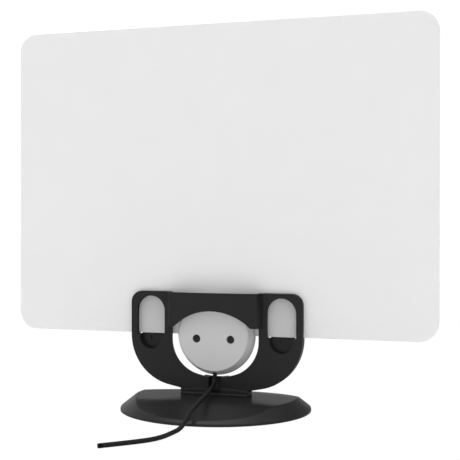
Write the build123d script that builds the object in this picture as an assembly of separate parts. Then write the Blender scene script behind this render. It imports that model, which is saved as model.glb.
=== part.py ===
from build123d import *
import math
import os

# A flat indoor TV antenna on its stand, in millimetres.
# X runs along the panel. The back, with the junction box and the lead, looks towards -Y. Z is up.
# The origin lies on the table, under the middle of the stand's base.

# Panel: two plastic sheets with the foil between them
PANEL_WIDTH = 310.0
PANEL_HEIGHT = 220.0
PANEL_CORNER = 13.5
PANEL_LIFT = 52.1
PANEL_BACK = 1.7
SHEET_THICKNESS = 0.5
FOIL_THICKNESS = 0.1
FOIL_MARGIN = 14.0
FOIL_GAP = 5.0
FOIL_STRIP = 16.0
FOIL_FEED_WIDTH = 12.0
FOIL_FEED_RISE = 9.0
FOIL_FLARE = 46.0

# Junction box that clamps the panel's bottom edge
BOX_RISE = 0.5
BOX_RING_RADIUS = 28.7
BOX_FACE_RADIUS = 25.2
BOX_BACK_DEPTH = 7.1
BOX_FRONT_DEPTH = 2.4
BOX_FRONT_TAPER = 1.5
BOX_EDGE = 0.8
BOX_WALL = 1.6
SCREW_SPACING = 25.0
SCREW_DROP = 2.8
SCREW_RECESS = 5.8
SCREW_RECESS_DEPTH = 2.6
SCREW_HEAD = 5.2
SCREW_HEAD_HEIGHT = 1.8
SCREW_SHANK = 2.2
SCREW_LENGTH = 5.6
SCREW_DRIVE = 2.6
SCREW_DRIVE_SLOT = 0.7
SCREW_DRIVE_DEPTH = 0.9
SCREW_BOSS = 4.4
PIN_SPACING = 34.0
PIN_RISE = 12.0
PIN_DIAMETER = 3.0
PIN_POST = 6.0
FIT = 0.1

# Matching board and what is on it
BOARD_WIDTH = 24.0
BOARD_HEIGHT = 16.0
BOARD_RISE = 5.0
BOARD_THICKNESS = 1.0
BOARD_POST = 3.0
BOARD_POST_SPACING = 18.0
CONTACT_SPACING = 15.0
CONTACT_WIDTH = 4.0
CONTACT_LENGTH = 4.0
CONTACT_RISE = 8.5
CONTACT_STRIP = 0.3
CORE_WIDTH = 8.0
CORE_HEIGHT = 7.0
CORE_DEPTH = 2.7
CORE_BORE = 1.3

# Upright: ears behind the panel, tongues in front of it, a strap round the box
UPRIGHT_WIDTH = 126.6
EAR_HEIGHT = 30.3
EAR_CORNER = 8.0
EAR_THICKNESS = 3.7
EAR_EDGE = 0.5
PANEL_CLEARANCE = 0.1
TONGUE_THICKNESS = 1.5
TONGUE_HEIGHT = 18.0
WINDOW_RIM = 4.55
WINDOW_WEB = 2.65
WINDOW_TOP = 27.0
WINDOW_DROP = 0.8
RECESS_MARGIN = 2.15
RECESS_DEPTH = 11.1
DIMPLE_DIAMETER = 4.0
DIMPLE_DEPTH = 0.8
DIMPLE_DROP = 3.4
OPENING_WIDTH = 64.0
OPENING_DEPTH = 29.5
OPENING_SIDE_RADIUS = 25.0
OPENING_BOTTOM_RADIUS = 50.0
OPENING_LIP = 1.6
OPENING_REBATE = 2.5
STRAP_FOOT = 3.0
STRAP_SLANT = 2.4
STRAP_REACH = 9.3
STRAP_BOW = 2.0
STRAP_CORNER = 1.8
STRAP_THICKNESS = 2.2
STRAP_BOTTOM = 6.2
ARCH_TOP = 17.7
ARCH_RADIUS = 40.5
SHOULDER_DROP = 1.0
FLANK_RADIUS = 36.0
NECK_WIDTH = 50.0
NECK_RISE = 2.1
NECK_FILLET = 1.4
STEP_REACH = 1.3
STEP_END_RISE = 2.1
STEP_BOW = 1.4
STEP_EDGE = 1.0
COLLAR_REACH = 2.7
COLLAR_SIDE = 0.3
COLLAR_HEIGHT = 2.2
COLLAR_CORNER = 2.5
COLLAR_EDGE = 1.0
GROOVE_WIDTH = 9.0
GROOVE_DEPTH = 4.6
GROOVE_RIB = 4.0
TAB_SPACING = 28.0
TAB_WIDTH = 10.0
TAB_THICKNESS = 4.0
TAB_SLIT = 1.0
TAB_LENGTH = 6.0
HOOK_REACH = 1.0
HOOK_HEIGHT = 1.5

# Base: a bevelled oval shell, whose flat top falls to the rim behind the neck and in front of it
BASE_LENGTH = 135.0
BASE_DEPTH = 126.6
BASE_TOP = 9.6
BASE_BEVEL_X = 9.95
BASE_BEVEL_Y = 10.8
BASE_LIP = 1.6
BASE_WALL = 2.0
BASE_EDGE = 0.8
BEVEL_EDGE = 1.2
BACK_ROLL_START = 23.0
BACK_ROLL_RUN = 11.3
BACK_ROLL_RADIUS = 45.0
BACK_END_HEIGHT = 3.5
FRONT_SLOPE_START = 19.5
FRONT_SLOPE_RADIUS = 138.0
FRONT_END_HEIGHT = 2.4
PAD_DIAMETER = 10.0
PAD_THICKNESS = 1.5
PAD_PROUD = 0.2
PAD_SPACING_X = 80.0
PAD_SPACING_Y = 60.0
PAD_BOSS_WALL = 1.5

# Lead: thin coax that comes out of the box and lies on the table
LEAD_DIAMETER = 3.0
LEAD_DEPTH = -1.0
LEAD_STOP_HEIGHT = 31.7
LEAD_ROUTE = [
    (0.0, LEAD_DEPTH, LEAD_STOP_HEIGHT),
    (0.0, LEAD_DEPTH, 18.8),
    (0.9, -13.6, 16.2),
    (2.1, -25.6, 14.9),
    (3.5, -38.6, 14.4),
    (4.4, -51.0, 13.4),
    (3.3, -62.5, 9.6),
    (3.7, -71.5, 6.3),
    (3.0, -80.5, 2.2),
    (0.9, -91.0, 1.55),
    (-0.4, -102.4, 1.55),
    (-4.6, -112.4, 1.55),
    (-13.4, -122.1, 1.55),
    (-20.8, -129.3, 1.55),
    (-27.9, -136.1, 1.55),
]
ARC_SHARE = 0.45
DIELECTRIC_DIAMETER = 2.0
CONDUCTOR_DIAMETER = 0.8
CONDUCTOR_LAP = 3.0
CRIMP_DIAMETER = 4.6
CRIMP_LENGTH = 3.5
LEAD_HOLE_FIT = 0.1

# Places that follow from the sizes above
SHEET_JOIN = PANEL_BACK + SHEET_THICKNESS
PANEL_FRONT = SHEET_JOIN + SHEET_THICKNESS
BOX_HEIGHT = PANEL_LIFT + BOX_RISE
BOX_BACK = PANEL_BACK - BOX_BACK_DEPTH
BOX_FRONT = PANEL_FRONT + BOX_FRONT_DEPTH
BOX_INNER_BACK = BOX_BACK + BOX_WALL
SCREW_HEIGHT = BOX_HEIGHT - SCREW_DROP
SCREW_SEAT = BOX_BACK + SCREW_RECESS_DEPTH
SCREW_BOSS_END = SCREW_SEAT + BOX_WALL
PIN_HEIGHT = PANEL_LIFT + PIN_RISE
BOARD_FRONT = LEAD_DEPTH - CONDUCTOR_DIAMETER / 2
BOARD_BACK = BOARD_FRONT - BOARD_THICKNESS
BOARD_BOTTOM = PANEL_LIFT + BOARD_RISE
BOARD_CENTRE = BOARD_BOTTOM + BOARD_HEIGHT / 2
CONTACT_HEIGHT = PANEL_LIFT + CONTACT_RISE
UPRIGHT_BACK = PANEL_BACK - PANEL_CLEARANCE - EAR_THICKNESS
EAR_FRONT = PANEL_BACK - PANEL_CLEARANCE
TONGUE_BACK = PANEL_FRONT + PANEL_CLEARANCE
UPRIGHT_FRONT = TONGUE_BACK + TONGUE_THICKNESS
UPRIGHT_MIDDLE = (UPRIGHT_BACK + UPRIGHT_FRONT) / 2
LIP_FRONT = UPRIGHT_BACK + OPENING_LIP
STRAP_BACK = UPRIGHT_BACK - STRAP_REACH
STRAP_WIDTH = OPENING_WIDTH + 2 * STRAP_FOOT
STRAP_END_WIDTH = STRAP_WIDTH - 2 * STRAP_SLANT
WINDOW_WIDTH = (UPRIGHT_WIDTH - STRAP_WIDTH) / 2 - WINDOW_RIM - WINDOW_WEB
WINDOW_CENTRE = UPRIGHT_WIDTH / 2 - WINDOW_RIM - WINDOW_WIDTH / 2
RECESS_WIDTH = WINDOW_WIDTH - 2 * RECESS_MARGIN
COLLAR_TOP = BASE_TOP + COLLAR_HEIGHT
NECK_FOOT = COLLAR_TOP - PANEL_LIFT
BASE_UNDERSIDE = PAD_PROUD
BASE_LIP_TOP = BASE_UNDERSIDE + BASE_LIP
BASE_TOP_LENGTH = BASE_LENGTH - 2 * BASE_BEVEL_X
BASE_TOP_DEPTH = BASE_DEPTH - 2 * BASE_BEVEL_Y


def slab(outline, back, front):
    """A solid between two heights in Y, from an outline drawn in X and Z above the panel's bottom edge."""
    plane = Plane(origin=(0, front, PANEL_LIFT), x_dir=(1, 0, 0), z_dir=(0, -1, 0))
    return extrude(plane * outline, front - back)


def bar(x, z, diameter, back, front):
    """A round bar along Y."""
    return Pos(x, (back + front) / 2, z) * Rot(90, 0, 0) * Cylinder(diameter / 2, front - back)


def block(x, y, z):
    """A box between three pairs of limits."""
    sizes = [high - low for low, high in (x, y, z)]
    centre = [(low + high) / 2 for low, high in (x, y, z)]
    return Pos(*centre) * Box(*sizes)


def both_sides(half):
    """A sketch and its mirror image across the middle."""
    return half + mirror(half, about=Plane.YZ)


# Panel

def panel_outline():
    return Pos(0, PANEL_HEIGHT / 2) * RectangleRounded(PANEL_WIDTH, PANEL_HEIGHT, PANEL_CORNER)


def foil_element(side):
    """One half of the antenna: a feed strip that flares into a closed loop."""
    outer_x = PANEL_WIDTH / 2 - FOIL_MARGIN
    top = PANEL_HEIGHT - FOIL_MARGIN
    inner_x = FOIL_GAP / 2
    feed_x = inner_x + FOIL_FEED_WIDTH
    outer = Polyline(
        (inner_x, FOIL_FEED_RISE - FOIL_GAP),
        (feed_x, FOIL_FEED_RISE - FOIL_GAP),
        (feed_x, FOIL_FEED_RISE + FOIL_GAP),
        (outer_x, FOIL_FLARE),
        (outer_x, top),
        (inner_x, top),
        close=True,
    )
    flare_slope = (FOIL_FLARE - FOIL_FEED_RISE - FOIL_GAP) / (outer_x - feed_x)
    strip_rise = FOIL_STRIP * math.hypot(1, flare_slope)
    hole_left = inner_x + FOIL_STRIP
    hole_right = outer_x - FOIL_STRIP
    hole_left_low = FOIL_FEED_RISE + FOIL_GAP + (hole_left - feed_x) * flare_slope + strip_rise
    hole_right_low = hole_left_low + (hole_right - hole_left) * flare_slope
    inner = Polyline(
        (hole_left, hole_left_low),
        (hole_right, hole_right_low),
        (hole_right, top - FOIL_STRIP),
        (hole_left, top - FOIL_STRIP),
        close=True,
    )
    foil = slab(make_face(outer) - make_face(inner), SHEET_JOIN, SHEET_JOIN + FOIL_THICKNESS)
    return foil if side > 0 else mirror(foil, about=Plane.YZ)


def pin_places():
    return [(side * PIN_SPACING / 2, PIN_HEIGHT) for side in (-1, 1)]


def contact_places():
    return [(side * CONTACT_SPACING / 2, CONTACT_HEIGHT) for side in (-1, 1)]


def screw_places():
    return [(side * SCREW_SPACING / 2, SCREW_HEIGHT) for side in (-1, 1)]


def panel_rear_sheet():
    sheet = slab(panel_outline(), PANEL_BACK, SHEET_JOIN)
    for x, z in pin_places():
        sheet -= bar(x, z, PIN_DIAMETER + 2 * FIT, PANEL_BACK, SHEET_JOIN)
    for x, z in contact_places():
        across = (x - CONTACT_WIDTH / 2 - FIT, x + CONTACT_WIDTH / 2 + FIT)
        along = (z - CONTACT_LENGTH / 2 - FIT, z + CONTACT_LENGTH / 2 + FIT)
        sheet -= block(across, (PANEL_BACK, SHEET_JOIN), along)
    return sheet


def panel_front_sheet(foils):
    sheet = slab(panel_outline(), SHEET_JOIN, PANEL_FRONT)
    for x, z in pin_places():
        sheet -= bar(x, z, PIN_DIAMETER + 2 * FIT, SHEET_JOIN, PANEL_FRONT)
    for foil in foils:
        sheet -= foil
    return sheet


# Junction box

def turned(points):
    """A solid of revolution about the box's axis, from points given as radius and Y."""
    face = make_face(Polyline(*points, close=True))
    return revolve(Pos(0, 0, BOX_HEIGHT) * face, Axis((0, 0, BOX_HEIGHT), (0, 1, 0)))


def box_radius(y):
    """Outer radius of the tapered back cover at a place in Y."""
    share = (PANEL_BACK - y) / BOX_BACK_DEPTH
    return BOX_RING_RADIUS + (BOX_FACE_RADIUS - BOX_RING_RADIUS) * share


def panel_slot(back, front):
    """The room that the panel takes in the box, above the panel's bottom edge."""
    reach = BOX_RING_RADIUS + BOX_WALL
    return block((-reach, reach), (back, front), (PANEL_LIFT, BOX_HEIGHT + reach))


def box_rear_cover():
    outer = turned([(0, BOX_BACK), (BOX_FACE_RADIUS, BOX_BACK), (BOX_RING_RADIUS, PANEL_BACK),
                    (BOX_RING_RADIUS, SHEET_JOIN), (0, SHEET_JOIN)])
    face_edge = outer.edges().sort_by(Axis.Y)[0]
    outer = fillet(face_edge, BOX_EDGE)
    cavity = turned([(0, BOX_INNER_BACK), (box_radius(BOX_INNER_BACK) - BOX_WALL, BOX_INNER_BACK),
                     (BOX_RING_RADIUS - BOX_WALL, PANEL_BACK), (BOX_RING_RADIUS - BOX_WALL, SHEET_JOIN),
                     (0, SHEET_JOIN)])
    cover = outer - cavity
    for x, z in screw_places():
        cover += bar(x, z, SCREW_RECESS + 2 * BOX_WALL, BOX_BACK, SCREW_BOSS_END)
        cover -= bar(x, z, SCREW_RECESS, BOX_BACK, SCREW_SEAT)
        cover -= bar(x, z, SCREW_SHANK + 2 * FIT, SCREW_SEAT, SCREW_BOSS_END)
    for x, z in pin_places():
        cover += bar(x, z, PIN_POST, BOX_INNER_BACK, PANEL_BACK)
        cover -= bar(x, z, PIN_DIAMETER + 2 * FIT, BOX_INNER_BACK, PANEL_BACK)
    for side in (-1, 1):
        cover += bar(side * BOARD_POST_SPACING / 2, BOARD_CENTRE, BOARD_POST, BOX_INNER_BACK, BOARD_BACK)
    cover -= panel_slot(PANEL_BACK, SHEET_JOIN)
    hole_top = BOX_HEIGHT - BOX_FACE_RADIUS + 2 * BOX_WALL
    hole_bottom = BOX_HEIGHT - BOX_RING_RADIUS - BOX_WALL
    hole = Cylinder(LEAD_DIAMETER / 2 + LEAD_HOLE_FIT, hole_top - hole_bottom)
    return cover - Pos(0, LEAD_DEPTH, (hole_top + hole_bottom) / 2) * hole


def box_front_cover():
    cover = turned([(0, SHEET_JOIN), (BOX_RING_RADIUS, SHEET_JOIN), (BOX_RING_RADIUS, PANEL_FRONT),
                    (BOX_RING_RADIUS - BOX_FRONT_TAPER, BOX_FRONT), (0, BOX_FRONT)])
    inner_radius = BOX_RING_RADIUS - BOX_WALL
    cover -= turned([(0, SHEET_JOIN), (inner_radius, SHEET_JOIN),
                     (inner_radius, PANEL_FRONT), (0, PANEL_FRONT)])
    cover -= panel_slot(SHEET_JOIN, PANEL_FRONT)
    for x, z in screw_places():
        cover += bar(x, z, SCREW_BOSS, SCREW_BOSS_END, PANEL_FRONT)
        cover -= bar(x, z, SCREW_SHANK + FIT, SCREW_BOSS_END, SCREW_SEAT + SCREW_LENGTH + FIT)
    for x, z in pin_places():
        cover += bar(x, z, PIN_DIAMETER, PANEL_BACK - BOX_WALL, PANEL_FRONT)
    return cover


def box_screw(x, z):
    """A pan-head screw with a cross drive."""
    head = bar(x, z, SCREW_HEAD, SCREW_SEAT - SCREW_HEAD_HEIGHT, SCREW_SEAT)
    head = fillet(head.edges().sort_by(Axis.Y)[0], SCREW_HEAD_HEIGHT / 2)
    drive_floor = SCREW_SEAT - SCREW_HEAD_HEIGHT + SCREW_DRIVE_DEPTH
    long_half = SCREW_DRIVE / 2
    slot_half = SCREW_DRIVE_SLOT / 2
    depth = (SCREW_SEAT - SCREW_HEAD_HEIGHT, drive_floor)
    head -= block((x - long_half, x + long_half), depth, (z - slot_half, z + slot_half))
    head -= block((x - slot_half, x + slot_half), depth, (z - long_half, z + long_half))
    return head + bar(x, z, SCREW_SHANK, SCREW_SEAT, SCREW_SEAT + SCREW_LENGTH)


def matching_board():
    half = BOARD_WIDTH / 2
    return block((-half, half), (BOARD_BACK, BOARD_FRONT), (BOARD_BOTTOM, BOARD_BOTTOM + BOARD_HEIGHT))


def balun_core():
    """A two-hole ferrite core, glued to the front of the board."""
    middle = Pos(0, BOARD_FRONT + CORE_DEPTH / 2, BOARD_CENTRE)
    core = Box(CORE_WIDTH, CORE_DEPTH, CORE_HEIGHT)
    for side in (-1, 1):
        core -= Pos(side * CORE_WIDTH / 4, 0, 0) * Cylinder(CORE_BORE / 2, CORE_HEIGHT)
    return middle * core


def contact(x, z):
    """A bent spring strip from the board to the foil, through a window in the rear sheet."""
    across = (x - CONTACT_WIDTH / 2, x + CONTACT_WIDTH / 2)
    low = z - CONTACT_LENGTH / 2
    high = z + CONTACT_LENGTH / 2
    foot = block(across, (BOARD_FRONT, BOARD_FRONT + CONTACT_STRIP), (low, high))
    riser = block(across, (BOARD_FRONT, SHEET_JOIN), (low, low + CONTACT_STRIP))
    pad = block(across, (SHEET_JOIN - CONTACT_STRIP, SHEET_JOIN), (low, high))
    return foot + riser + pad


# Upright

def body_outline():
    """The upright below the panel's bottom edge: shoulders, flanks and neck."""
    half = UPRIGHT_WIDTH / 2
    neck = NECK_WIDTH / 2
    neck_top = NECK_FOOT + NECK_RISE
    centre = Vector(half - FLANK_RADIUS, -SHOULDER_DROP)
    to_neck = Vector(neck, neck_top) - centre
    touch = math.acos(FLANK_RADIUS / to_neck.length)
    turn = math.degrees(math.atan2(-to_neck.Y, to_neck.X) - touch)
    shoulder = Polyline((0, 0), (half, 0), (half, -SHOULDER_DROP))
    flank = CenterArc(centre, FLANK_RADIUS, 0, -turn)
    foot = Polyline(flank @ 1, (neck, neck_top), (neck, NECK_FOOT), (0, NECK_FOOT), (0, 0))
    outline = both_sides(make_face(shoulder + flank + foot))
    corners = [v for v in outline.vertices() if abs(abs(v.X) - neck) < 1e-6 and abs(v.Y - neck_top) < 1e-6]
    return fillet(corners, NECK_FILLET)


def ear_outline():
    """The plate behind the panel, with its two top corners rounded."""
    plate = Pos(0, EAR_HEIGHT / 2) * Rectangle(UPRIGHT_WIDTH, EAR_HEIGHT)
    return fillet(plate.vertices().group_by(Axis.Y)[-1], EAR_CORNER)


def pill(centre, width, bottom, top):
    """An upright slot outline with a round top."""
    radius = width / 2
    straight = Pos(centre, (bottom + top - radius) / 2) * Rectangle(width, top - radius - bottom)
    return straight + Pos(centre, top - radius) * Circle(radius)


def opening_outline(grow):
    """The U that the box slides into, open at the top, made wider all round by a given amount."""
    side_radius = OPENING_SIDE_RADIUS + grow
    bottom_radius = OPENING_BOTTOM_RADIUS + grow
    bottom_centre = OPENING_BOTTOM_RADIUS - OPENING_DEPTH
    side_x = OPENING_WIDTH / 2 - OPENING_SIDE_RADIUS
    apart = OPENING_BOTTOM_RADIUS - OPENING_SIDE_RADIUS
    side_z = bottom_centre - math.sqrt(apart ** 2 - side_x ** 2)
    turn = math.degrees(math.atan2(bottom_centre - side_z, side_x))
    side = CenterArc((side_x, side_z), side_radius, 0, -turn)
    bottom = CenterArc((0, bottom_centre), bottom_radius, -turn, turn - 90)
    rest = Polyline(bottom @ 1, (0, EAR_HEIGHT), (side_x + side_radius, EAR_HEIGHT), side @ 0)
    return both_sides(make_face(side + bottom + rest))


def opening_rebate():
    """Where the plate is thinned round the opening, but for a rib in front of the lead's groove."""
    rib_height = 2 * (OPENING_REBATE + GROOVE_WIDTH)
    rib = Pos(0, -OPENING_DEPTH) * Rectangle(GROOVE_WIDTH + 2 * GROOVE_RIB, rib_height)
    return slab(opening_outline(OPENING_REBATE) - rib, LIP_FRONT, UPRIGHT_FRONT)


def strap_plan(inset):
    """The strap's form from above: bowed, with slanting ends that stand on the plate."""
    foot = STRAP_WIDTH / 2 - inset
    end = STRAP_END_WIDTH / 2 - inset
    back = STRAP_BACK + inset
    end_back = back + STRAP_BOW
    bow = ThreePointArc((-end, end_back), (0, back), (end, end_back))
    rest = Polyline((end, end_back), (foot, UPRIGHT_BACK), (foot, LIP_FRONT),
                    (-foot, LIP_FRONT), (-foot, UPRIGHT_BACK), (-end, end_back))
    return make_face(bow + rest)


def strap():
    """The strap that stands off round the box, arched over the box's lower half."""
    outer = strap_plan(0)
    outer = fillet(outer.vertices().group_by(Axis.Y)[0], STRAP_CORNER)
    plan = outer - strap_plan(STRAP_THICKNESS)
    band = extrude(Pos(0, 0, PANEL_LIFT + STRAP_BOTTOM) * plan, EAR_HEIGHT - STRAP_BOTTOM)
    arch = Pos(0, ARCH_TOP - ARCH_RADIUS) * Circle(ARCH_RADIUS)
    return band - slab(arch, STRAP_BACK, UPRIGHT_BACK)


def neck_step():
    """The thicker foot of the neck, with its bowed upper edge."""
    half = NECK_WIDTH / 2
    end = NECK_FOOT + STEP_END_RISE
    sides = Polyline((-half, end), (-half, NECK_FOOT), (half, NECK_FOOT), (half, end))
    bow = ThreePointArc((half, end), (0, end + STEP_BOW), (-half, end))
    step = slab(make_face(sides + bow), UPRIGHT_BACK - STEP_REACH, UPRIGHT_FRONT + STEP_REACH)
    return fillet(step.edges().filter_by(GeomType.CIRCLE), STEP_EDGE)


def collar():
    """The flange that rests on the base, with its upper edge rounded."""
    depth = UPRIGHT_FRONT - UPRIGHT_BACK + 2 * COLLAR_REACH
    outline = RectangleRounded(NECK_WIDTH + 2 * COLLAR_SIDE, depth, COLLAR_CORNER)
    flange = extrude(Pos(0, UPRIGHT_MIDDLE, BASE_TOP) * outline, COLLAR_HEIGHT)
    return fillet(flange.faces().sort_by(Axis.Z)[-1].edges(), COLLAR_EDGE)


def snap_tab(side):
    """A split tab that goes through the base and hooks under its top wall."""
    x = side * TAB_SPACING / 2
    across = (x - TAB_WIDTH / 2, x + TAB_WIDTH / 2)
    down = (BASE_TOP - TAB_LENGTH, BASE_TOP)
    half = TAB_THICKNESS / 2
    catch = BASE_TOP - BASE_WALL
    tab = block(across, (UPRIGHT_MIDDLE - half, UPRIGHT_MIDDLE + half), down)
    reach = half + HOOK_REACH
    tab += block(across, (UPRIGHT_MIDDLE - reach, UPRIGHT_MIDDLE + reach), (catch - HOOK_HEIGHT, catch))
    return tab - block(across, (UPRIGHT_MIDDLE - TAB_SLIT / 2, UPRIGHT_MIDDLE + TAB_SLIT / 2), down)


def upright_plate():
    """The body and the ears in one, with the edge of the back face rounded."""
    plate = slab(body_outline(), UPRIGHT_BACK, UPRIGHT_FRONT)
    plate += slab(ear_outline(), UPRIGHT_BACK, EAR_FRONT)
    back_face = plate.faces().sort_by(Axis.Y)[0]
    return fillet(back_face.edges(), EAR_EDGE)


def stand_upright():
    upright = upright_plate() - slab(opening_outline(0), UPRIGHT_BACK, UPRIGHT_FRONT)
    upright -= opening_rebate()
    upright += strap()
    upright += neck_step()
    groove_top = -OPENING_DEPTH + GROOVE_WIDTH
    groove = Pos(0, (groove_top + NECK_FOOT) / 2) * Rectangle(GROOVE_WIDTH, groove_top - NECK_FOOT)
    upright -= slab(groove, UPRIGHT_BACK - STEP_REACH, UPRIGHT_BACK + GROOVE_DEPTH)
    for side in (-1, 1):
        x = side * WINDOW_CENTRE
        window = pill(x, WINDOW_WIDTH, -WINDOW_DROP, WINDOW_TOP)
        upright -= slab(window, UPRIGHT_BACK, UPRIGHT_FRONT)
        recess = Rot(0, 0, 180) * pill(-x, RECESS_WIDTH, 0, RECESS_DEPTH)
        upright -= slab(recess, UPRIGHT_BACK, TONGUE_BACK)
        tongue = pill(x, RECESS_WIDTH, -RECESS_DEPTH / 2, TONGUE_HEIGHT)
        upright += slab(tongue, TONGUE_BACK, UPRIGHT_FRONT)
        upright -= bar(x, PANEL_LIFT - DIMPLE_DROP, DIMPLE_DIAMETER, TONGUE_BACK, TONGUE_BACK + DIMPLE_DEPTH)
    upright += collar()
    for side in (-1, 1):
        upright += snap_tab(side)
    return upright


# Base

def base_back_slope(inset):
    """What is cut away behind the neck: the flat top rolls over into a hollow slope down to the rim."""
    top = BASE_TOP - inset
    turn = math.degrees(math.asin(BACK_ROLL_RUN / BACK_ROLL_RADIUS))
    roll = CenterArc((-BACK_ROLL_START, top - BACK_ROLL_RADIUS), BACK_ROLL_RADIUS, 90, turn)
    end = Vector(-BASE_DEPTH / 2, BACK_END_HEIGHT - inset)
    hollow = TangentArc(roll @ 1, end, tangent=roll % 1)
    beyond = -BASE_DEPTH
    rest = Polyline(end, (beyond, end.Y), (beyond, BASE_DEPTH), (-BACK_ROLL_START, BASE_DEPTH), roll @ 0)
    return extrude(make_face(Plane.YZ * (roll + hollow + rest)), BASE_LENGTH / 2, both=True)


def base_front_slope(inset):
    """What is cut away in front of the neck: a slope from a bowed edge down to the rim."""
    run = BASE_DEPTH / 2 - FRONT_SLOPE_START
    fall = (BASE_TOP - FRONT_END_HEIGHT) / run
    start = FRONT_SLOPE_RADIUS
    beyond = start + BASE_DEPTH / 2
    top = BASE_TOP - inset
    points = [(start, top), (beyond, top - fall * BASE_DEPTH / 2), (beyond, BASE_DEPTH), (start, BASE_DEPTH)]
    ring = revolve(make_face(Plane.XZ * Polyline(*points, close=True)), Axis.Z)
    return Pos(0, FRONT_SLOPE_START - FRONT_SLOPE_RADIUS, 0) * ring


def base_form(inset):
    """The base's outer form with sharp edges, or the form of its hollow when it is inset by the wall."""
    foot = Ellipse(BASE_LENGTH / 2 - inset, BASE_DEPTH / 2 - inset)
    top = Ellipse(BASE_TOP_LENGTH / 2 - inset, BASE_TOP_DEPTH / 2 - inset)
    form = extrude(Pos(0, 0, BASE_UNDERSIDE) * foot, BASE_LIP)
    form += loft([Pos(0, 0, BASE_LIP_TOP) * foot, Pos(0, 0, BASE_TOP - inset) * top])
    return form - base_back_slope(inset) - base_front_slope(inset)


def rounded_base_form():
    """The outer form, with a soft edge all along the bevel's top and smaller ones elsewhere."""
    form = base_form(0)
    upper = form.edges().filter_by(lambda edge: edge.bounding_box().min.Z > BASE_LIP_TOP + FIT)
    # The fillet runs on by itself from this edge, past the roll and along the flat top
    form = fillet(upper.sort_by(Axis.Y)[0], BEVEL_EDGE)
    front_slope = form.faces().sort_by(Axis.Y)[-1]
    lip = form.edges().filter_by_position(Axis.Z, BASE_LIP_TOP - FIT, BASE_LIP_TOP + FIT)
    return fillet(front_slope.edges() + lip, BASE_EDGE)


def pad_places():
    return {
        "foot_pad_back_left": (-PAD_SPACING_X / 2, -PAD_SPACING_Y / 2),
        "foot_pad_back_right": (PAD_SPACING_X / 2, -PAD_SPACING_Y / 2),
        "foot_pad_front_left": (-PAD_SPACING_X / 2, PAD_SPACING_Y / 2),
        "foot_pad_front_right": (PAD_SPACING_X / 2, PAD_SPACING_Y / 2),
    }


def stand_base():
    form = rounded_base_form()
    base = form - base_form(BASE_WALL)
    pad_seat = PAD_THICKNESS - PAD_PROUD
    for x, y in pad_places().values():
        column = Pos(x, y, BASE_TOP / 2) * Cylinder(PAD_DIAMETER / 2 + PAD_BOSS_WALL, BASE_TOP)
        base += column & form
        seat = Cylinder(PAD_DIAMETER / 2 + FIT, pad_seat)
        base -= Pos(x, y, BASE_UNDERSIDE + pad_seat / 2) * seat
    for side in (-1, 1):
        x = side * TAB_SPACING / 2
        half_width = TAB_WIDTH / 2 + FIT
        half_depth = TAB_THICKNESS / 2 + FIT
        base -= block((x - half_width, x + half_width),
                      (UPRIGHT_MIDDLE - half_depth, UPRIGHT_MIDDLE + half_depth),
                      (BASE_TOP - 2 * BASE_WALL, BASE_TOP))
    return base


def foot_pad(x, y):
    pad = Pos(x, y, PAD_THICKNESS / 2) * Cylinder(PAD_DIAMETER / 2, PAD_THICKNESS)
    return chamfer(pad.edges().sort_by(Axis.Z)[0], PAD_PROUD / 2)


# Lead

def arc_radii(points):
    """The largest arc that each corner of the route has room for."""
    radii = []
    for before, corner, after in zip(points, points[1:], points[2:]):
        run_in = Vector(*corner) - Vector(*before)
        run_out = Vector(*after) - Vector(*corner)
        half_turn = math.radians(run_in.get_angle(run_out)) / 2
        radii.append(ARC_SHARE * min(run_in.length, run_out.length) / math.tan(half_turn))
    return radii


def coax_lead():
    radii = arc_radii(LEAD_ROUTE)
    path = FilletPolyline(*LEAD_ROUTE, radius=radii)
    section = Plane(origin=path @ 0, z_dir=path % 0) * Circle(LEAD_DIAMETER / 2)
    lead = sweep(section, path=path)
    expected = math.pi * LEAD_DIAMETER ** 2 / 4 * path.length
    print("lead radii", [round(radius, 1) for radius in radii])
    print("lead length", round(path.length, 1), "volume", round(lead.volume, 2), "expected", round(expected, 2))
    return lead


def lead_core():
    """The stripped end of the lead: its insulation and its conductor, laid on the board."""
    insulation_end = BOARD_BOTTOM - DIELECTRIC_DIAMETER
    conductor_end = BOARD_BOTTOM + CONDUCTOR_LAP
    bottom = LEAD_STOP_HEIGHT
    insulation = Pos(0, LEAD_DEPTH, (bottom + insulation_end) / 2)
    insulation *= Cylinder(DIELECTRIC_DIAMETER / 2, insulation_end - bottom)
    conductor = Pos(0, LEAD_DEPTH, (bottom + conductor_end) / 2)
    conductor *= Cylinder(CONDUCTOR_DIAMETER / 2, conductor_end - bottom)
    return insulation + conductor


def lead_crimp():
    """A crimped ring inside the box, which stops the lead from being pulled out."""
    wall_radius = box_radius(LEAD_DEPTH - CRIMP_DIAMETER / 2) - BOX_WALL
    bottom = BOX_HEIGHT - math.sqrt(wall_radius ** 2 - (CRIMP_DIAMETER / 2) ** 2) + FIT
    ring = Cylinder(CRIMP_DIAMETER / 2, CRIMP_LENGTH) - Cylinder(LEAD_DIAMETER / 2 + FIT / 2, CRIMP_LENGTH)
    return Pos(0, LEAD_DEPTH, bottom + CRIMP_LENGTH / 2) * ring


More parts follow.
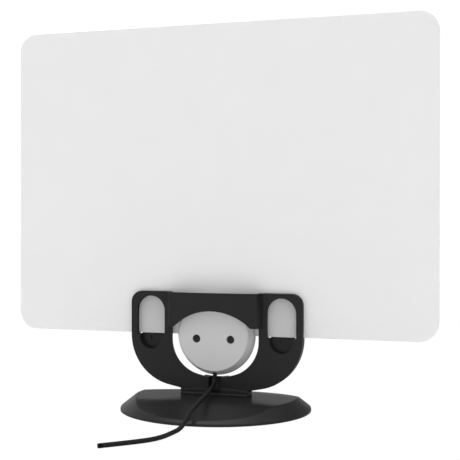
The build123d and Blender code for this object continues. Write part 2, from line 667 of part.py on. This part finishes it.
def all_pieces():
    foils = {"foil_left": foil_element(-1), "foil_right": foil_element(1)}
    pieces = {
        "panel_rear_sheet": panel_rear_sheet(),
        "panel_front_sheet": panel_front_sheet(foils.values()),
        **foils,
        "box_rear_cover": box_rear_cover(),
        "box_front_cover": box_front_cover(),
        "matching_board": matching_board(),
        "balun_core": balun_core(),
        "stand_upright": stand_upright(),
        "stand_base": stand_base(),
        "coax_lead": coax_lead(),
        "lead_core": lead_core(),
        "lead_crimp": lead_crimp(),
    }
    for name, (x, z) in zip(("left", "right"), screw_places()):
        pieces["box_screw_" + name] = box_screw(x, z)
    for name, (x, z) in zip(("left", "right"), contact_places()):
        pieces["contact_" + name] = contact(x, z)
    for name, (x, y) in pad_places().items():
        pieces[name] = foot_pad(x, y)
    return pieces


os.makedirs("parts", exist_ok=True)
for node, shape in all_pieces().items():
    export_step(shape, "parts/" + node + ".step")
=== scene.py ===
import math

import bpy
from mathutils import Euler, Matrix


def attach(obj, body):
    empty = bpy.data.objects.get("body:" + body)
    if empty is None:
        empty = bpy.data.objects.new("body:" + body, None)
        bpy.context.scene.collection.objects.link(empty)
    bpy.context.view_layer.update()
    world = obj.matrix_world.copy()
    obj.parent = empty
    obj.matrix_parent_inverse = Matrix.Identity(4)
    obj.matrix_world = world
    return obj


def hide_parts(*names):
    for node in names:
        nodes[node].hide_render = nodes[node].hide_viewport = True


# A flat indoor TV antenna on its stand. Every size and place is in metres, in the frame of the model.

# Camera, as fitted to the panel's edges in the photograph: tilt and turn in degrees, lens and sensor in mm
CAMERA_PLACE = (0.21595, -0.6633, 0.1332)
CAMERA_TILT = 89.434
CAMERA_TURN = 17.2
CAMERA_LENS = 77.4
CAMERA_SENSOR = 36.0

# Lead: the same route as the solid, as control points of one smooth line
LEAD_DIAMETER = 0.003
LEAD_ROUTE = [
    (0.0, -0.001, 0.0317),
    (0.0, -0.001, 0.0188),
    (0.0009, -0.0136, 0.0162),
    (0.0021, -0.0256, 0.0149),
    (0.0035, -0.0386, 0.0144),
    (0.0044, -0.051, 0.0134),
    (0.0033, -0.0625, 0.0096),
    (0.0037, -0.0715, 0.0063),
    (0.003, -0.0805, 0.0022),
    (0.0009, -0.091, 0.00155),
    (-0.0004, -0.1024, 0.00155),
    (-0.0046, -0.1124, 0.00155),
    (-0.0134, -0.1221, 0.00155),
    (-0.0208, -0.1293, 0.00155),
    (-0.0279, -0.1361, 0.00155),
]
# Painted shade at the lead's cut end: how far from the end it reaches, and the share of colour it takes away
LEAD_TIP = 0.003
LEAD_TIP_PAINTED_SHADE = 0.9
LEAD_SIDES = 6
LEAD_STEPS = 16

# Windows of the stand's ears, where the back of the panel lies in the stand's grip and is darkened by
# painted shade
WINDOW_CENTRE = 0.0482
WINDOW_HALF = 0.0115
WINDOW_TOP = 0.0801
WINDOW_PAINTED_SHADE = 0.3
SHEET_JOIN = 0.0022

# Noise in the materials: its scale and detail, and the range of its values that is used
CLOUDS = (40, 2)
METAL_CLOUDS = (300, 3)
CLOUD_RANGE = (0.3, 0.7)
GRAIN_DETAIL = 3
GRAIN_STRENGTH = 0.3

# Thin coat of the black mouldings
COAT_WEIGHT = 0.3
COAT_ROUGHNESS = 0.3

# Light: soft light from all round, with more of it from some sides, and a white backdrop behind the object.
# Each has its direction, the cosines between which it rises to its full strength, and that strength.
EVEN_LIGHT = 0.33
LEFT_LIGHT = ((-0.94, 0.34, 0), 0.6, 0.95, 1.22)
TOP_LIGHT = ((0, 0, 1), 0.75, 0.95, 3.4)
FRONT_LIGHT = ((0, -1, 0), -0.2, 0.6, 0.32)
BACKDROP = ((-0.2957, 0.9553, 0), 0.915, 0.945, 0.72)

# Floor: how much of it shows plain white, and the rest takes the shadow
FLOOR_COLOUR = 0.9
FLOOR_WHITE = 0.94
FLOOR_SIZE = 12.0

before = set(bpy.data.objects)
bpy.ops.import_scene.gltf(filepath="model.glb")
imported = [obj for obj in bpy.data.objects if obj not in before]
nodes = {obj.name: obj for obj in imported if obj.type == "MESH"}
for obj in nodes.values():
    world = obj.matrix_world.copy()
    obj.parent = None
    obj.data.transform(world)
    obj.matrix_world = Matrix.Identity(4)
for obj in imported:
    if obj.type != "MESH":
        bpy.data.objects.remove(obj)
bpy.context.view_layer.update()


def grey(level):
    """A grey as a colour."""
    return (level, level, level)


def greys(dark, light):
    """The two ends of a range of grey."""
    return grey(dark), grey(light)


def new_material(name):
    """A material with its shader, and what is needed to add nodes to it."""
    material = bpy.data.materials.new(name)
    material.use_nodes = True
    tree = material.node_tree
    return material, tree, tree.nodes["Principled BSDF"]


def noise(tree, scale, detail):
    """Noise in the model's own coordinates."""
    place = tree.nodes.new("ShaderNodeTexCoord")
    pattern = tree.nodes.new("ShaderNodeTexNoise")
    pattern.inputs["Scale"].default_value = scale
    pattern.inputs["Detail"].default_value = detail
    tree.links.new(place.outputs["Object"], pattern.inputs["Vector"])
    return pattern.outputs["Fac"]


def spread(tree, value, low, high):
    """Maps a noise value to a range of roughness."""
    ramp = tree.nodes.new("ShaderNodeMapRange")
    ramp.inputs["From Min"].default_value = CLOUD_RANGE[0]
    ramp.inputs["From Max"].default_value = CLOUD_RANGE[1]
    ramp.inputs["To Min"].default_value = low
    ramp.inputs["To Max"].default_value = high
    tree.links.new(value, ramp.inputs["Value"])
    return ramp.outputs["Result"]


def tint(tree, value, dark, light):
    """Maps a noise value to a range of colour."""
    mix = tree.nodes.new("ShaderNodeMix")
    mix.data_type = "RGBA"
    mix.inputs["A"].default_value = (*dark, 1)
    mix.inputs["B"].default_value = (*light, 1)
    tree.links.new(value, mix.inputs["Factor"])
    return mix.outputs["Result"]


def bump(tree, value, height, strength):
    """A fine relief from a noise value."""
    relief = tree.nodes.new("ShaderNodeBump")
    relief.inputs["Strength"].default_value = strength
    relief.inputs["Distance"].default_value = height
    tree.links.new(value, relief.inputs["Height"])
    return relief.outputs["Normal"]


def calculate(tree, operation, first, second=0):
    """One step of arithmetic on a value, with a number or another value."""
    step = tree.nodes.new("ShaderNodeMath")
    step.operation = operation
    tree.links.new(first, step.inputs[0])
    if isinstance(second, (int, float)):
        step.inputs[1].default_value = second
    else:
        tree.links.new(second, step.inputs[1])
    return step.outputs["Value"]


def plastic(name, colours, rough, specular, grain, relief):
    """Moulded plastic: slightly uneven colour and gloss, and a fine grain."""
    material, tree, shader = new_material(name)
    cloudy = noise(tree, *CLOUDS)
    fine = noise(tree, grain, GRAIN_DETAIL)
    tree.links.new(tint(tree, cloudy, *colours), shader.inputs["Base Color"])
    tree.links.new(spread(tree, cloudy, *rough), shader.inputs["Roughness"])
    tree.links.new(bump(tree, fine, relief, GRAIN_STRENGTH), shader.inputs["Normal"])
    shader.inputs["Specular IOR Level"].default_value = specular
    return material


def metal(name, colours, rough):
    """Plain metal with slightly uneven colour and gloss."""
    material, tree, shader = new_material(name)
    cloudy = noise(tree, *METAL_CLOUDS)
    tree.links.new(tint(tree, cloudy, *colours), shader.inputs["Base Color"])
    tree.links.new(spread(tree, cloudy, *rough), shader.inputs["Roughness"])
    shader.inputs["Metallic"].default_value = 1
    return material


def coat(material, weight, roughness):
    """A thin glossy skin, whose reflections are weak but sharper than the plastic's own."""
    shader = material.node_tree.nodes["Principled BSDF"]
    shader.inputs["Coat Weight"].default_value = weight
    shader.inputs["Coat Roughness"].default_value = roughness


def paint_shade(material, zone, share):
    """Paints shade into a material's colour: takes a share of it away in a zone."""
    tree = material.node_tree
    colour = tree.nodes["Principled BSDF"].inputs["Base Color"]
    mix = tree.nodes.new("ShaderNodeMix")
    mix.data_type = "RGBA"
    mix.blend_type = "MULTIPLY"
    mix.inputs["B"].default_value = (*grey(1 - share), 1)
    tree.links.new(colour.links[0].from_socket, mix.inputs["A"])
    tree.links.new(zone, mix.inputs["Factor"])
    tree.links.new(mix.outputs["Result"], colour)


def window_painted_shade_zone(tree):
    """The parts of the panel's back that show through the windows of the stand's ears, where painted shade
    goes.
    """
    place = tree.nodes.new("ShaderNodeTexCoord")
    axes = tree.nodes.new("ShaderNodeSeparateXYZ")
    tree.links.new(place.outputs["Object"], axes.inputs["Vector"])
    aside = calculate(tree, "ABSOLUTE", axes.outputs["X"])
    offset = calculate(tree, "ABSOLUTE", calculate(tree, "SUBTRACT", aside, WINDOW_CENTRE))
    across = calculate(tree, "LESS_THAN", offset, WINDOW_HALF)
    low = calculate(tree, "LESS_THAN", axes.outputs["Z"], WINDOW_TOP)
    back = calculate(tree, "LESS_THAN", axes.outputs["Y"], SHEET_JOIN)
    return calculate(tree, "MULTIPLY", calculate(tree, "MULTIPLY", across, low), back)


def lead_tip_shade_zone(tree):
    """The last stretch of the lead at its cut end, where painted shade goes."""
    place = tree.nodes.new("ShaderNodeTexCoord")
    away = tree.nodes.new("ShaderNodeVectorMath")
    away.operation = "DISTANCE"
    away.inputs[1].default_value = LEAD_ROUTE[-1]
    tree.links.new(place.outputs["Object"], away.inputs[0])
    return calculate(tree, "LESS_THAN", away.outputs["Value"], LEAD_TIP)


def paint(material, *names):
    """Gives CAD nodes their material."""
    for name in names:
        slots = nodes[name].data.materials
        slots.clear()
        slots.append(material)


def paint_stand():
    """The black mouldings and the pads under the base."""
    black = plastic("black_plastic", greys(0.0148, 0.0174), rough=(0.5, 0.6), specular=0,
                    grain=2500, relief=0.00002)
    coat(black, COAT_WEIGHT, COAT_ROUGHNESS)
    rubber = plastic("pad_rubber", greys(0.015, 0.03), rough=(0.7, 0.85), specular=0.3,
                     grain=1500, relief=0.00003)
    paint(black, "stand_upright", "stand_base")
    paint(rubber, "foot_pad_back_left", "foot_pad_back_right", "foot_pad_front_left", "foot_pad_front_right")


def paint_panel():
    """The white sheets and the foil between them."""
    white = plastic("panel_plastic", greys(0.743, 0.763), rough=(0.5, 0.6), specular=0.2,
                    grain=1500, relief=0.00001)
    # Painted shade: the panel's back is made darker where it shows through the windows of the stand's ears
    paint_shade(white, window_painted_shade_zone(white.node_tree), WINDOW_PAINTED_SHADE)
    foil = metal("foil", greys(0.75, 0.85), rough=(0.2, 0.35))
    paint(white, "panel_rear_sheet", "panel_front_sheet")
    paint(foil, "foil_left", "foil_right")


def paint_box():
    """The junction box and what is in it."""
    cover = plastic("grey_plastic", greys(0.565, 0.583), rough=(0.5, 0.6), specular=0.2,
                    grain=2000, relief=0.00001)
    board = plastic("board", ((0.02, 0.12, 0.04), (0.03, 0.16, 0.06)), rough=(0.35, 0.5), specular=0.5,
                    grain=900, relief=0.00002)
    ferrite = plastic("ferrite", greys(0.02, 0.05), rough=(0.5, 0.7), specular=0.5,
                      grain=2500, relief=0.00004)
    insulation = plastic("insulation", greys(0.75, 0.8), rough=(0.3, 0.4), specular=0.5,
                         grain=900, relief=0.00001)
    steel = metal("screw_steel", greys(0.03, 0.06), rough=(0.35, 0.5))
    bronze = metal("spring_bronze", ((0.6, 0.36, 0.14), (0.7, 0.45, 0.2)), rough=(0.25, 0.4))
    crimp = metal("crimp_metal", greys(0.5, 0.6), rough=(0.3, 0.4))
    paint(cover, "box_rear_cover", "box_front_cover")
    paint(board, "matching_board")
    paint(ferrite, "balun_core")
    paint(insulation, "lead_core")
    paint(steel, "box_screw_left", "box_screw_right")
    paint(bronze, "contact_left", "contact_right")
    paint(crimp, "lead_crimp")


def lead_line():
    """The lead's middle line, as thick as the lead."""
    line = bpy.data.curves.new("lead", "CURVE")
    line.dimensions = "3D"
    line.bevel_depth = LEAD_DIAMETER / 2
    line.bevel_resolution = LEAD_SIDES
    line.resolution_u = LEAD_STEPS
    line.use_fill_caps = True
    spline = line.splines.new("NURBS")
    spline.points.add(len(LEAD_ROUTE) - 1)
    for point, place in zip(spline.points, LEAD_ROUTE):
        point.co = (*place, 1)
    spline.order_u = 3
    spline.use_endpoint_u = True
    return line


def lead():
    """The loose coax lead, from inside the box to its end on the table."""
    line = lead_line()
    cord = bpy.data.objects.new("lead", line)
    bpy.context.collection.objects.link(cord)
    jacket = plastic("lead_jacket", greys(0.012, 0.016), rough=(0.45, 0.55), specular=0.05,
                     grain=2500, relief=0.00002)
    # Painted shade: the jacket is darkened on its last stretch, at the cut end
    paint_shade(jacket, lead_tip_shade_zone(jacket.node_tree), LEAD_TIP_PAINTED_SHADE)
    line.materials.append(jacket)
    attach(cord, "root")
    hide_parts("coax_lead")


def seen_directly(tree, share):
    """A share where the camera sees a surface, also in a mirror or through glass, and none elsewhere."""
    path = tree.nodes.new("ShaderNodeLightPath")
    total = path.outputs["Is Camera Ray"]
    for kind in ("Is Glossy Ray", "Is Transmission Ray"):
        total = calculate(tree, "MAXIMUM", total, path.outputs[kind])
    return calculate(tree, "MULTIPLY", total, share)


def floor_material():
    """Plain pale, and mostly white by itself where the camera sees it."""
    material, tree, shader = new_material("floor")
    shader.inputs["Base Color"].default_value = (*grey(FLOOR_COLOUR), 1)
    shader.inputs["Roughness"].default_value = 1
    shader.inputs["Specular IOR Level"].default_value = 0
    white = tree.nodes.new("ShaderNodeEmission")
    blend = tree.nodes.new("ShaderNodeMixShader")
    tree.links.new(seen_directly(tree, FLOOR_WHITE), blend.inputs["Fac"])
    tree.links.new(shader.outputs["BSDF"], blend.inputs[1])
    tree.links.new(white.outputs["Emission"], blend.inputs[2])
    tree.links.new(blend.outputs["Shader"], tree.nodes["Material Output"].inputs["Surface"])
    return material


def floor():
    """The plain pale surface that the stand rests on."""
    mesh = bpy.data.meshes.new("floor")
    half = FLOOR_SIZE / 2
    corners = [(-half, -half, 0), (half, -half, 0), (half, half, 0), (-half, half, 0)]
    mesh.from_pydata(corners, [], [(0, 1, 2, 3)])
    mesh.materials.append(floor_material())
    surface = bpy.data.objects.new("floor", mesh)
    bpy.context.collection.objects.link(surface)


def soft_light(tree, direction, start, full, strength):
    """Light from one side of the room, which fades out all round."""
    place = tree.nodes.new("ShaderNodeTexCoord")
    facing = tree.nodes.new("ShaderNodeVectorMath")
    facing.operation = "DOT_PRODUCT"
    facing.inputs[1].default_value = direction
    fade = tree.nodes.new("ShaderNodeMapRange")
    fade.interpolation_type = "SMOOTHSTEP"
    fade.inputs["From Min"].default_value = start
    fade.inputs["From Max"].default_value = full
    fade.inputs["To Max"].default_value = strength
    tree.links.new(place.outputs["Generated"], facing.inputs[0])
    tree.links.new(facing.outputs["Value"], fade.inputs["Value"])
    return fade.outputs["Result"]


def light():
    """The room's light, which is all there is."""
    world = bpy.data.worlds.new("world")
    bpy.context.scene.world = world
    world.use_nodes = True
    tree = world.node_tree
    background = tree.nodes["Background"]
    background.inputs["Color"].default_value = (1, 1, 1, 1)
    target = background.inputs["Strength"]
    for side in (LEFT_LIGHT, TOP_LIGHT, FRONT_LIGHT, BACKDROP):
        add = tree.nodes.new("ShaderNodeMath")
        tree.links.new(soft_light(tree, *side), add.inputs[0])
        tree.links.new(add.outputs["Value"], target)
        target = add.inputs[1]
    target.default_value = EVEN_LIGHT


def camera():
    """The photograph's view."""
    lens = bpy.data.cameras.new("camera")
    lens.lens = CAMERA_LENS
    lens.sensor_width = CAMERA_SENSOR
    eye = bpy.data.objects.new("camera", lens)
    eye.location = CAMERA_PLACE
    eye.rotation_euler = Euler((math.radians(CAMERA_TILT), 0, math.radians(CAMERA_TURN)))
    bpy.context.collection.objects.link(eye)
    bpy.context.scene.camera = eye


bpy.context.scene.view_settings.view_transform = "Standard"
camera()
lead()
paint_stand()
paint_panel()
paint_box()
floor()
light()
